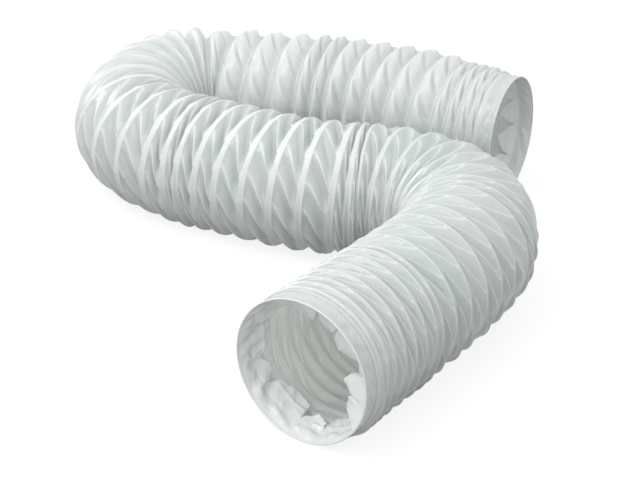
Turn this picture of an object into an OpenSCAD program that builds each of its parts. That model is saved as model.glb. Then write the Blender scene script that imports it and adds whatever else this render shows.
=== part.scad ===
// Flexible air duct: a soft film hose wound on one spring-steel wire, lying on a flat surface in two bends.
// Millimetres, +Z up. The origin is on the surface, under the middle of the hose's outline.
// The hose is divided into sections between turns of the wire, so that it can bend and stretch.

/* [Hose] */
// Outside radius of the film over the wire
crest_r = 53; // [52:0.5:54]
// Diameter of the spring wire
wire_d = 1.3; // [1:0.1:1.4]
// Film over the wire, inside face to outside face
crest_wall = 2.4; // [2.2:0.1:2.6]
// Film between two turns of the wire, inside face to outside face
valley_wall = 1; // [0.8:0.1:1.2]
// Dip of the film between two turns, as a share of the distance between them
dip_share = 0.3; // [0.1:0.05:0.35]
// Deepest dip of the film between two turns
dip_limit = 6; // [4:0.5:7]
// Depth of the flat on which each turn rests
rest_cut = 0.5; // [0.3:0.1:0.8]

/* [Cuffs] */
// Length of the smooth hem at each mouth
cuff_length = 12; // [8:1:12]
// Thickness of the hem, film turned in on film
cuff_wall = 1.4; // [1.2:0.1:1.6]
// Step from the hem up to the first turn of wire
cuff_step = 0.6; // [0.6:0.1:1]

/* [Sections] */
// Distance that each side of a cut between sections stands back from it, on the centreline
cut_back = 0.3; // [0.1:0.1:0.4]

/* [Hidden] */
// The centreline from the front mouth on, as legs of [length, turn to the left in degrees]
legs = [
    [138, 0], [55, 6], [32, 11], [48, 32], [48, 41], [54, 26], [98, -23], [54, 3],
    [56, -19], [48, -40], [70, -60], [52, -45], [66, 0], [96, -14], [106, 0]
];
// Where the front mouth lies, and the way the centreline runs from it
mouth = [-1, -263.6];
mouth_heading = 54.6;
// How the turns of wire lie along the centreline, as stretches of [turns, distance from turn to turn]
stretches = [
    [1, 6], [2, 8.5], [4, 13], [1, 6], [6, 20.3], [2, 10.5], [6, 22], [2, 7.5], [6, 21],
    [2, 13.5], [4, 23], [1, 20], [5, 16.2], [4, 24.7], [2, 14.5], [5, 22], [3, 11], [1, 7]
];
// Distance along the centreline at which the first turn of film starts
first_turn = 13;
// Each section's name, and the number of the last turn of wire that it holds
sections = [
    ["front_end", 5], ["front_run", 13],
    ["front_bend_1", 15], ["front_bend_2", 17], ["front_bend_3", 18], ["front_bend_4", 19],
    ["front_bend_5", 20], ["front_bend_6", 21], ["front_bend_7", 23],
    ["middle_run", 32],
    ["rear_bend_1", 33], ["rear_bend_2", 34], ["rear_bend_3", 35], ["rear_bend_4", 36],
    ["rear_bend_5", 37], ["rear_bend_6", 39], ["rear_bend_7", 41], ["rear_bend_8", 42],
    ["rear_run", 51], ["rear_end", 56]
];

// Facets round the hose, and sides of the wire
sides = 8;
wire_sides = 4;
// Facets of the rim that meets a cuff, for each facet round the hose and in all
rim_split = 3;
rim_points = rim_split * sides;
// Facets of the round cuffs
cuff_facets = 96;
// Turns of wire in the whole hose, and its length along the centreline
turns = sections[len(sections) - 1][1];
hose_length = len_to(len(legs) - 1);
// Height of the centreline above the surface
lie = crest_r - rest_cut;
// The wire runs in the middle of the film that covers it
wire_r = crest_r - crest_wall / 2;
// Outside radius of the hem
cuff_r = crest_r - cuff_step;
// Half the angle of the slit where one section's turn of film ends and the next one's starts
slit = cut_back / crest_r * 180 / PI / 2;
// Half of the surface that the hose lies on, well past its outline
ground = 400;

FILM = [0.88, 0.9, 0.92];
HEM = [0.94, 0.95, 0.96];
STEEL = [0.5, 0.52, 0.55];

// Length of the centreline up to the end of leg i
function len_to(i) = legs[i][0] + (i > 0 ? len_to(i - 1) : 0);

// Where a leg ends that starts at [x, y, heading]
function leg_end(at, leg) =
    leg[1] == 0
        ? [at[0] + leg[0] * cos(at[2]), at[1] + leg[0] * sin(at[2]), at[2]]
        : let (radius = leg[0] / leg[1] * 180 / PI, heading = at[2] + leg[1])
          [at[0] + radius * (sin(heading) - sin(at[2])), at[1] - radius * (cos(heading) - cos(at[2])), heading];

// The centreline's [x, y, heading] at a distance from the front mouth
function centre(s, i = 0, at = [mouth[0], mouth[1], mouth_heading]) =
    s <= legs[i][0] || i == len(legs) - 1
        ? leg_end(at, [s, legs[i][1] * s / legs[i][0]])
        : centre(s - legs[i][0], i + 1, leg_end(at, legs[i]));

// Distance along the centreline after a number of turns, whole or not
function station(t, i = 0, s = first_turn) =
    t <= stretches[i][0] || i == len(stretches) - 1
        ? s + t * stretches[i][1]
        : station(t - stretches[i][0], i + 1, s + stretches[i][0] * stretches[i][1]);

// A point at a distance along the hose and a radius from its centreline, a number of turns round from the top
function point(t, s, r) =
    let (at = centre(s), angle = 360 * t)
    [at[0] - r * sin(angle) * sin(at[2]), at[1] + r * sin(angle) * cos(at[2]), lie + r * cos(angle)];

// How far the film dips half a turn behind a turn of the wire, from the distance between its neighbours
function dip(t) =
    t <= 1 || t >= turns - 0.01
        ? cuff_step
        : min(dip_limit, dip_share * (station(t + 0.5) - station(t - 0.5)));

// Two triangles for a four-sided face
function quad(a, b, c, d) = [[a, b, d], [b, c, d]];

// A band of faces that joins the outside to the inside along the edge of a section
function edge_band(loop, inside) = [
    for (i = [0 : len(loop) - 1])
        let (a = loop[i], b = loop[(i + 1) % len(loop)])
        each quad(b, a, a + inside, b + inside)
];

// One section of film: a ribbon that follows the wire for its turns and folds down on both sides of it.
// The edges along the hose lie half-way between two turns, and each turn starts at the bottom.
module film(first, last) {
    steps = sides * (last - first);
    start = first + 0.5;
    single = last - first == 1;
    at_front = first == 0;
    at_rear = last == turns;
    front_back = at_front ? 0 : cut_back;
    rear_back = at_rear ? 0 : cut_back;
    front_slit = at_front ? 0 : slit / 360;
    rear_slit = at_rear ? 0 : slit / 360;

    // The wire's line, the dip in front of it and the dip behind it, as [turn, station, outside, inside]
    crest = [
        for (m = [0 : steps])
            let (t = start + m / sides)
            [t + (m == 0 ? front_slit : m == steps ? -rear_slit : 0), station(t), crest_r, crest_r - crest_wall]
    ];
    near = [
        for (m = [0 : steps])
            let (
                t = start + m / sides,
                aside = m == 0 ? front_slit : m == steps ? -rear_slit : m == sides ? front_slit : 0,
                back = m <= sides ? front_back : m == steps ? -rear_back : 0,
                outside = crest_r - dip(t - 0.5)
            )
            [t + aside, station(t - 0.5) + back, outside, outside - film_wall(t - 0.5)]
    ];
    far = [
        for (m = [steps - sides + (single ? 0 : 1) : steps])
            let (
                t = start + m / sides,
                aside = m == steps ? -rear_slit : m == steps - sides ? front_slit : 0,
                outside = crest_r - dip(t + 0.5)
            )
            [t + aside, station(t + 0.5) - rear_back, outside, outside - film_wall(t + 0.5)]
    ];
    // The round rim that meets a cuff
    rim_row = [
        for (j = [0 : rim_points - 1])
            if (at_front || at_rear)
                let (s = at_front ? cuff_length : hose_length - cuff_length)
                [start + j / rim_points, s, cuff_r, cuff_r - cuff_wall]
    ];

    rows = concat(crest, near, far, rim_row);
    inside = len(rows);
    near_0 = steps + 1;
    far_0 = 2 * near_0;
    rim_0 = far_0 + len(far);

    // Places in the list of points: dips beyond the last turn are in the far row, the others in the near row
    function behind(m) = m + sides <= steps - (single ? 1 : 0)
        ? near_0 + m + sides
        : far_0 + m - (steps - sides + (single ? 0 : 1));
    function rim(j) = rim_0 + (j + rim_points) % rim_points;

    ribbon = [
        for (m = [0 : steps - 1])
            each concat(
                quad(near_0 + m, near_0 + m + 1, m + 1, m),
                quad(m, m + 1, behind(m + 1), behind(m))
            )
    ];
    // At a mouth the ribbon runs on to the rim, and the end of its first or last turn is closed
    first_row = [for (m = [0 : sides]) near_0 + m];
    last_row = [for (m = [0 : sides]) behind(steps - sides + m)];
    front_band = !at_front ? [] : concat(
        [
            for (j = [0 : sides - 1])
                let (a = first_row[j], b = first_row[j + 1], r = rim_split * j)
                each [[rim(r), rim(r + 1), a], [rim(r + 1), b, a], [rim(r + 1), rim(r + 2), b]]
        ],
        [for (j = [0 : sides - 2]) [rim(rim_split * j + 2), rim(rim_split * j + 3), first_row[j + 1]]],
        [[rim(-1), rim(0), first_row[0]], [rim(-1), first_row[0], first_row[sides]]],
        [[first_row[0], 0, first_row[sides]]]
    );
    rear_band = !at_rear ? [] : concat(
        [
            for (j = [0 : sides - 1])
                let (a = last_row[j], b = last_row[j + 1], r = rim_split * j)
                each [[a, b, rim(r + 1)], [b, rim(r + 2), rim(r + 1)], [b, rim(r + 3), rim(r + 2)]]
        ],
        [for (j = [1 : sides - 1]) [last_row[j], rim(rim_split * j + 1), rim(rim_split * j)]],
        [[last_row[0], rim(1), last_row[sides]], [last_row[sides], rim(1), rim(0)]],
        [[last_row[0], last_row[sides], steps]]
    );
    outer = concat(ribbon, front_band, rear_band);
    inner = [for (f = outer) [f[2] + inside, f[1] + inside, f[0] + inside]];

    // The edges of the film: one round each end of the section, or a single one round a ribbon of one turn
    rear_edge = [for (m = [sides : -1 : 0]) last_row[m]];
    loops = single
        ? [concat(first_row, [steps], rear_edge, [0])]
        : [
            at_front ? [for (j = [0 : rim_points - 1]) rim(j)] : concat(first_row, [0]),
            at_rear ? [for (j = [rim_points - 1 : -1 : 0]) rim(j)] : concat(rear_edge, [steps])
        ];

    color(FILM) difference() {
        polyhedron(
            points = concat([for (p = rows) point(p[0], p[1], p[2])], [for (p = rows) point(p[0], p[1], p[3])]),
            faces = concat(outer, inner, [for (loop = loops) each edge_band(loop, inside)])
        );
        translate([-ground, -ground, -crest_r]) cube([2 * ground, 2 * ground, crest_r]);
    }
}

// Thickness of the film in a dip: a hem's beside a cuff, a single film's elsewhere
function film_wall(t) = t <= 1 || t >= turns - 0.01 ? cuff_wall : valley_wall;

// The point in the middle of the wire after t turns
function wire_point(t) = point(t, station(t), wire_r);

// One section of wire: an unbroken round of its turns, inside the crest of the film
module wire(first, last) {
    steps = sides * (last - first);
    start = first + 0.5;
    rings = [
        for (m = [0 : steps])
            let (
                t = start + m / sides,
                round = t + (m == 0 ? 1 : m == steps ? -1 : 0) * 2 * slit / 360,
                heading = centre(station(t))[2]
            )
            for (k = [0 : wire_sides - 1])
                let (angle = 360 * k / wire_sides, along = wire_d / 2 * sin(angle))
                point(round, station(t), wire_r + wire_d / 2 * cos(angle))
                    + along * [cos(heading), sin(heading), 0]
    ];
    tube = [
        for (m = [0 : steps - 1])
            for (k = [0 : wire_sides - 1])
                let (a = m * wire_sides + k, b = m * wire_sides + (k + 1) % wire_sides)
                each quad(a, a + wire_sides, b + wire_sides, b)
    ];
    ends = [
        for (k = [1 : wire_sides - 2])
            each [[0, k, k + 1], [steps * wire_sides, steps * wire_sides + k + 1, steps * wire_sides + k]]
    ];
    color(STEEL) polyhedron(points = rings, faces = concat(tube, ends));
}

// The hem at a mouth: the film turned in on itself into a round sleeve, without wire
module cuff(s, outwards) {
    at = centre(s);
    color(HEM)
        translate([at[0], at[1], lie])
            rotate([0, 0, at[2] + (outwards ? 180 : 0)])
                rotate([0, 90, 0])
                    difference() {
                        translate([0, 0, -cuff_length])
                            cylinder(r = cuff_r, h = cuff_length, $fn = cuff_facets);
                        translate([0, 0, -cuff_length - 1])
                            cylinder(r = cuff_r - cuff_wall, h = cuff_length + 2, $fn = cuff_facets);
                    }
}

// A section by its name
function section_number(name) = [for (i = [0 : len(sections) - 1]) if (sections[i][0] == name) i][0];
function first_of(name) = let (i = section_number(name)) i == 0 ? 0 : sections[i - 1][1];
function last_of(name) = sections[section_number(name)][1];
module film_section(name) film(first_of(name), last_of(name));
module wire_section(name) wire(first_of(name), last_of(name));

module film_front_end() film_section("front_end");
module film_front_run() film_section("front_run");
module film_front_bend_1() film_section("front_bend_1");
module film_front_bend_2() film_section("front_bend_2");
module film_front_bend_3() film_section("front_bend_3");
module film_front_bend_4() film_section("front_bend_4");
module film_front_bend_5() film_section("front_bend_5");
module film_front_bend_6() film_section("front_bend_6");
module film_front_bend_7() film_section("front_bend_7");
module film_middle_run() film_section("middle_run");
module film_rear_bend_1() film_section("rear_bend_1");
module film_rear_bend_2() film_section("rear_bend_2");
module film_rear_bend_3() film_section("rear_bend_3");
module film_rear_bend_4() film_section("rear_bend_4");
module film_rear_bend_5() film_section("rear_bend_5");
module film_rear_bend_6() film_section("rear_bend_6");
module film_rear_bend_7() film_section("rear_bend_7");
module film_rear_bend_8() film_section("rear_bend_8");
module film_rear_run() film_section("rear_run");
module film_rear_end() film_section("rear_end");
module wire_front_end() wire_section("front_end");
module wire_front_run() wire_section("front_run");
module wire_front_bend_1() wire_section("front_bend_1");
module wire_front_bend_2() wire_section("front_bend_2");
module wire_front_bend_3() wire_section("front_bend_3");
module wire_front_bend_4() wire_section("front_bend_4");
module wire_front_bend_5() wire_section("front_bend_5");
module wire_front_bend_6() wire_section("front_bend_6");
module wire_front_bend_7() wire_section("front_bend_7");
module wire_middle_run() wire_section("middle_run");
module wire_rear_bend_1() wire_section("rear_bend_1");
module wire_rear_bend_2() wire_section("rear_bend_2");
module wire_rear_bend_3() wire_section("rear_bend_3");
module wire_rear_bend_4() wire_section("rear_bend_4");
module wire_rear_bend_5() wire_section("rear_bend_5");
module wire_rear_bend_6() wire_section("rear_bend_6");
module wire_rear_bend_7() wire_section("rear_bend_7");
module wire_rear_bend_8() wire_section("rear_bend_8");
module wire_rear_run() wire_section("rear_run");
module wire_rear_end() wire_section("rear_end");
module front_cuff() cuff(0, true);
module rear_cuff() cuff(hose_length, false);

// The least gap between neighbouring turns of the wire, measured on its points
turn_gap = min([
    for (m = [0 : sides * (turns - 1)])
        let (t = 0.5 + m / sides)
        norm(wire_point(t + 1) - wire_point(t)) - wire_d
]);
echo(str("Least gap between turns of the wire: ", turn_gap, " mm"));

film_front_end();
film_front_run();
film_front_bend_1();
film_front_bend_2();
film_front_bend_3();
film_front_bend_4();
film_front_bend_5();
film_front_bend_6();
film_front_bend_7();
film_middle_run();
film_rear_bend_1();
film_rear_bend_2();
film_rear_bend_3();
film_rear_bend_4();
film_rear_bend_5();
film_rear_bend_6();
film_rear_bend_7();
film_rear_bend_8();
film_rear_run();
film_rear_end();
wire_front_end();
wire_front_run();
wire_front_bend_1();
wire_front_bend_2();
wire_front_bend_3();
wire_front_bend_4();
wire_front_bend_5();
wire_front_bend_6();
wire_front_bend_7();
wire_middle_run();
wire_rear_bend_1();
wire_rear_bend_2();
wire_rear_bend_3();
wire_rear_bend_4();
wire_rear_bend_5();
wire_rear_bend_6();
wire_rear_bend_7();
wire_rear_bend_8();
wire_rear_run();
wire_rear_end();
front_cuff();
rear_cuff();
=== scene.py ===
"""Looks of a flexible air duct: a white film sleeve on a spring-steel wire helix, lying in two bends.

The frame is in metres. Along the hose, a place is given by its station, the distance from the front mouth
along the centreline, and by its turn: the number of turns of wire up to there, counted round from the top
to the left.
"""

import logging
import math
from dataclasses import dataclass, field
from enum import Enum
from typing import Any

import bpy
import numpy as np
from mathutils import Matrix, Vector

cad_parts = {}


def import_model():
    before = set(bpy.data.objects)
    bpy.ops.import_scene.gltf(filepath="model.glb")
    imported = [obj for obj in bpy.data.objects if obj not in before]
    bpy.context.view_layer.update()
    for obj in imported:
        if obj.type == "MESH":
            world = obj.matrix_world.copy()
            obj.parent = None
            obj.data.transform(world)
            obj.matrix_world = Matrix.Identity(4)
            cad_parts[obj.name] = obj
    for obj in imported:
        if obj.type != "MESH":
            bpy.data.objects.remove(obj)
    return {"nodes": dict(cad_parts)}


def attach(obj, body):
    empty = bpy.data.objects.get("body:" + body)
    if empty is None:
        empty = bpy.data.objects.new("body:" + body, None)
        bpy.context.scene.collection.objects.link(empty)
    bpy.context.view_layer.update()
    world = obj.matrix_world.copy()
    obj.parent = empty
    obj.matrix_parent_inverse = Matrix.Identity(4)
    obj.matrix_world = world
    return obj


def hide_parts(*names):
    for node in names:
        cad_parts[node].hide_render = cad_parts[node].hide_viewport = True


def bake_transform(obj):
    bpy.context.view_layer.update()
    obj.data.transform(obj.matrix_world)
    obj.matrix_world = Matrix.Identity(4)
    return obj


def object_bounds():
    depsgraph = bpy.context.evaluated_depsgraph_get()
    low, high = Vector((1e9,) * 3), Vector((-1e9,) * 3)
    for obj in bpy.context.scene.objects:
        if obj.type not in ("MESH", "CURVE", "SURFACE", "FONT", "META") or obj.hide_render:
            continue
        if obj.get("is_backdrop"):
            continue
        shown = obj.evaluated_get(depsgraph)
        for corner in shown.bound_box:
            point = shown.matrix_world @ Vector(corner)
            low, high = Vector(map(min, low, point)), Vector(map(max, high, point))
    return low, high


log = logging.getLogger("duct")

Colour = tuple[float, float, float]
Run = tuple[float, float]

MM = 0.001
TURN = 2 * math.pi
WHITE = (1.0, 1.0, 1.0, 1.0)
SECOND_DRAW = 900  # added to a fold's number where it needs another random number


def ramp(value: np.ndarray, start: float, end: float) -> np.ndarray:
    """0 before start, 1 after end and straight in between."""
    return np.clip((value - start) / (end - start), 0, 1)


def put_in_scene(name: str, data: bpy.types.ID) -> bpy.types.Object:
    """Makes an object and puts it in the scene, at the origin.

    Args:
        name: Name of the object.
        data: Its mesh, curve, light or camera.

    Returns:
        The object.
    """
    made = bpy.data.objects.new(name, data)
    bpy.context.scene.collection.objects.link(made)
    return made


def store_on_points(mesh: bpy.types.Mesh, **values: np.ndarray) -> None:
    """Stores numbers on the points of a mesh.

    Args:
        mesh: The mesh.
        **values: Rows of numbers, one for each point, by name.
    """
    for name, numbers in values.items():
        layer = mesh.attributes.new(name, "FLOAT", "POINT")
        layer.data.foreach_set("value", np.asarray(numbers, np.float32))


def shade_smooth(mesh: bpy.types.Mesh) -> None:
    """Shades every face of a mesh smooth."""
    mesh.polygons.foreach_set("use_smooth", np.ones(len(mesh.polygons), bool))


# --------------------------------------------------------------------------------------------------
# The hose's route and its turns of wire
# --------------------------------------------------------------------------------------------------


@dataclass(frozen=True)
class Route:
    """The centreline of the hose: straight legs and arcs on a level plane.

    Lengths are in millimetres and angles in degrees, as in the part's source.
    """

    legs: tuple[tuple[float, float], ...] = (
        (138, 0), (55, 6), (32, 11), (48, 32), (48, 41), (54, 26), (98, -23), (54, 3),
        (56, -19), (48, -40), (70, -60), (52, -45), (66, 0), (96, -14), (106, 0),
    )
    mouth: tuple[float, float] = (-1, -263.6)
    mouth_heading: float = 54.6
    height: float = 52.5
    step: float = 0.5

    @property
    def length(self) -> float:
        """Length of the centreline."""
        return float(sum(leg[0] for leg in self.legs))

    def headings(self, station: np.ndarray) -> np.ndarray:
        """Direction of the centreline.

        Args:
            station: Distances from the front mouth.

        Returns:
            Headings in radians.
        """
        ends = np.concatenate([[0], np.cumsum([leg[0] for leg in self.legs])])
        turned = np.concatenate([[0], np.cumsum([leg[1] for leg in self.legs])])
        return np.radians(self.mouth_heading + np.interp(station, ends, turned))

    def curvature(self, station: np.ndarray) -> np.ndarray:
        """Turn to the left for each millimetre, in radians, eased over the joins between legs."""
        reach = 12.0
        return (self.headings(station + reach) - self.headings(station - reach)) / (2 * reach)

    def line(self) -> np.ndarray:
        """Points of the centreline.

        Returns:
            One point for each step from the front mouth to the rear mouth.
        """
        stations = np.arange(0, self.length + self.step / 2, self.step)
        middles = self.headings(stations[:-1] + self.step / 2)
        moves = np.stack([np.cos(middles), np.sin(middles)], 1) * self.step
        flat = np.concatenate([[self.mouth], self.mouth + np.cumsum(moves, 0)])
        return np.column_stack([flat, np.full(len(flat), self.height)])

    def place(self, station: np.ndarray, angle: np.ndarray, radius: np.ndarray) -> np.ndarray:
        """Points round the centreline.

        Args:
            station: Distances from the front mouth.
            angle: Angles round from the top towards the left, in radians.
            radius: Distances from the centreline.

        Returns:
            An array of points.
        """
        line = self.line()
        stations = np.arange(len(line)) * self.step
        heading = self.headings(station)
        beyond = station - np.clip(station, 0, self.length)
        x = np.interp(station, stations, line[:, 0]) + beyond * np.cos(heading)
        y = np.interp(station, stations, line[:, 1]) + beyond * np.sin(heading)
        side = radius * np.sin(angle)
        return np.stack([
            x - side * np.sin(heading), y + side * np.cos(heading), self.height + radius * np.cos(angle)
        ], -1)


@dataclass(frozen=True)
class Winding:
    """How the turns of wire lie along the route: stretches of (turns, distance from turn to turn)."""

    stretches: tuple[tuple[float, float], ...] = (
        (1, 6), (2, 8.5), (4, 13), (1, 6), (6, 20.3), (2, 10.5), (6, 22), (2, 7.5), (6, 21),
        (2, 13.5), (4, 23), (1, 20), (5, 16.2), (4, 24.7), (2, 14.5), (5, 22), (3, 11), (1, 7),
    )
    first_station: float = 13.0
    first_turn: float = 0.5
    last_turn: float = 56.5

    def station(self, turn: np.ndarray) -> np.ndarray:
        """Distance along the centreline after a number of turns.

        Args:
            turn: Turns from the top of the first round.

        Returns:
            Stations.
        """
        turns = np.concatenate([[0], np.cumsum([s[0] for s in self.stretches])])
        ends = self.first_station + np.concatenate([[0], np.cumsum([s[0] * s[1] for s in self.stretches])])
        return np.interp(turn, turns, ends)

    def film_station(self, turn: np.ndarray, start: float, end: float) -> np.ndarray:
        """Station of the wire's line in the film, carried on from the wire's ends to the edges of the hems.

        Args:
            turn: Turns from the top of the first round.
            start: Station of the front hem's edge.
            end: Station of the rear hem's edge.

        Returns:
            Stations, held between start and end.
        """
        first, last = self.station(np.array([self.first_turn, self.last_turn]))
        before = first + (turn - self.first_turn) * (first - start)
        after = last + (turn - self.last_turn) * (end - last)
        inside = self.station(turn)
        along = np.where(turn < self.first_turn, before, np.where(turn > self.last_turn, after, inside))
        return np.clip(along, start, end)


@dataclass(frozen=True)
class Section:
    """A visual section of the hose: it lies between two bodies over its length, or rides on one."""

    name: str
    first_body: str
    last_body: str
    start: float
    end: float

    def share(self, station: np.ndarray, margin: float) -> np.ndarray:
        """How far a point follows the section's last body, by its station.

        Args:
            station: Stations of the points.
            margin: Length at each end that follows one body alone.

        Returns:
            Shares from 0 to 1, eased at both ends.
        """
        t = np.clip((station - self.start - margin) / (self.end - self.start - 2 * margin), 0, 1)
        return t * t * (3 - 2 * t)


@dataclass(frozen=True)
class Sections:
    """The hose's sections, each named for the CAD section whose film and wire it stands for."""

    last_turns: tuple[tuple[str, int], ...] = (
        ("front_end", 5), ("front_run", 13),
        ("front_bend_1", 15), ("front_bend_2", 17), ("front_bend_3", 18), ("front_bend_4", 19),
        ("front_bend_5", 20), ("front_bend_6", 21), ("front_bend_7", 23),
        ("middle_run", 32),
        ("rear_bend_1", 33), ("rear_bend_2", 34), ("rear_bend_3", 35), ("rear_bend_4", 36),
        ("rear_bend_5", 37), ("rear_bend_6", 39), ("rear_bend_7", 41), ("rear_bend_8", 42),
        ("rear_run", 51), ("rear_end", 56),
    )
    root: str = "middle_run"
    hinge_reach: float = 26.0
    front_slide_end: float = 140.0
    rear_slide_start: float = 900.0

    def all(self, winding: Winding, hem: float, length: float) -> list[Section]:
        """The sections from the front mouth on.

        Args:
            winding: The turns of wire.
            hem: Length of the hem at each mouth.
            length: Length of the hose.

        Returns:
            One section for each CAD section. The cuts lie in the middle of the CAD sections, so that each
            section crosses one joint, and the middle run rides on the root.
        """
        names = [name for name, _ in self.last_turns]
        cuts = winding.station(np.array([turn + 0.5 for _, turn in self.last_turns[:-1]]))
        middles = [0.5 * (a + b) for a, b in zip(cuts[:-1], cuts[1:])]
        middles = [self.front_slide_end, *middles[1:-1], self.rear_slide_start]
        root = names.index(self.root)
        hinges = (cuts[root - 1], cuts[root])
        edges = [hem, *middles[: root - 1], hinges[0] + self.hinge_reach, hinges[1] - self.hinge_reach,
                 *middles[root:], length - hem]
        found = []
        for i, name in enumerate(names):
            pair = (name, names[i + 1]) if i < root else (names[i - 1], name) if i > root else (name, name)
            found.append(Section(name, *pair, float(edges[i]), float(edges[i + 1])))
        return found


# --------------------------------------------------------------------------------------------------
# Writing node trees as formulas
# --------------------------------------------------------------------------------------------------


@dataclass
class Term:
    """A number in a node tree that can be written into a sum or a product."""

    tree: bpy.types.NodeTree
    socket: bpy.types.NodeSocket

    def combined(self, operation: str, *values: "Term | float") -> "Term":
        """Adds a Math node.

        Args:
            operation: What the node does.
            *values: The terms and plain numbers that it takes, in their order.

        Returns:
            What comes out of it.
        """
        node = self.tree.nodes.new("ShaderNodeMath")
        node.operation = operation
        for slot, value in zip(node.inputs, values):
            if isinstance(value, Term):
                self.tree.links.new(value.socket, slot)
            else:
                slot.default_value = float(value)
        return Term(self.tree, node.outputs[0])

    def math(self, operation: str, *others: "Term | float") -> "Term":
        """A Math node on this term and others."""
        return self.combined(operation, self, *others)

    def __add__(self, other: "Term | float") -> "Term":
        """Sum."""
        return self.math("ADD", other)

    def __sub__(self, other: "Term | float") -> "Term":
        """Difference."""
        return self.math("SUBTRACT", other)

    def __mul__(self, other: "Term | float") -> "Term":
        """Product."""
        return self.math("MULTIPLY", other)

    def __truediv__(self, other: "Term | float") -> "Term":
        """Quotient."""
        return self.math("DIVIDE", other)

    def __pow__(self, other: "Term | float") -> "Term":
        """Power."""
        return self.math("POWER", other)

    def __rsub__(self, other: float) -> "Term":
        """A plain number less this term."""
        return self.combined("SUBTRACT", other, self)

    def __rtruediv__(self, other: float) -> "Term":
        """A plain number over this term."""
        return self.combined("DIVIDE", other, self)

    __radd__ = __add__
    __rmul__ = __mul__

    def at_most(self, other: "Term | float") -> "Term":
        """The lesser of the two."""
        return self.math("MINIMUM", other)

    def at_least(self, other: "Term | float") -> "Term":
        """The greater of the two."""
        return self.math("MAXIMUM", other)

    def held(self) -> "Term":
        """The term kept between 0 and 1."""
        return self.at_least(0).at_most(1)

    def eased(self, start: "Term | float", end: "Term | float") -> "Term":
        """0 before start, 1 after end and smooth in between."""
        t = ((self - start) / (end - start)).held()
        return t * t * (3 - 2 * t)

    def cosine(self) -> "Term":
        """Cosine."""
        return self.math("COSINE")

    def sine(self) -> "Term":
        """Sine."""
        return self.math("SINE")

    def root(self) -> "Term":
        """Square root."""
        return self.math("SQRT")


class Nodes:
    """A node tree in the making."""

    def __init__(self, tree: bpy.types.NodeTree) -> None:
        """Takes the tree that the nodes go into."""
        self.tree = tree

    def node(self, kind: str, **inputs: Any) -> bpy.types.Node:
        """Adds a node.

        Args:
            kind: The node's type.
            **inputs: Sockets, terms or values for its inputs, by name with underscores for spaces.

        Returns:
            The node.
        """
        node = self.tree.nodes.new(kind)
        for key, value in inputs.items():
            self.feed(node.inputs[key.replace("_", " ")], value)
        return node

    def feed(self, slot: bpy.types.NodeSocket, value: Any) -> None:
        """Links or sets one input of a node.

        Args:
            slot: The input.
            value: A socket or a term to link, or a value to set.
        """
        if isinstance(value, Term):
            value = value.socket
        if isinstance(value, bpy.types.NodeSocket):
            self.tree.links.new(value, slot)
        else:
            slot.default_value = value

    def first(self, kind: str) -> bpy.types.Node:
        """The first node of a type that the tree has."""
        return next(n for n in self.tree.nodes if n.type == kind)


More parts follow.
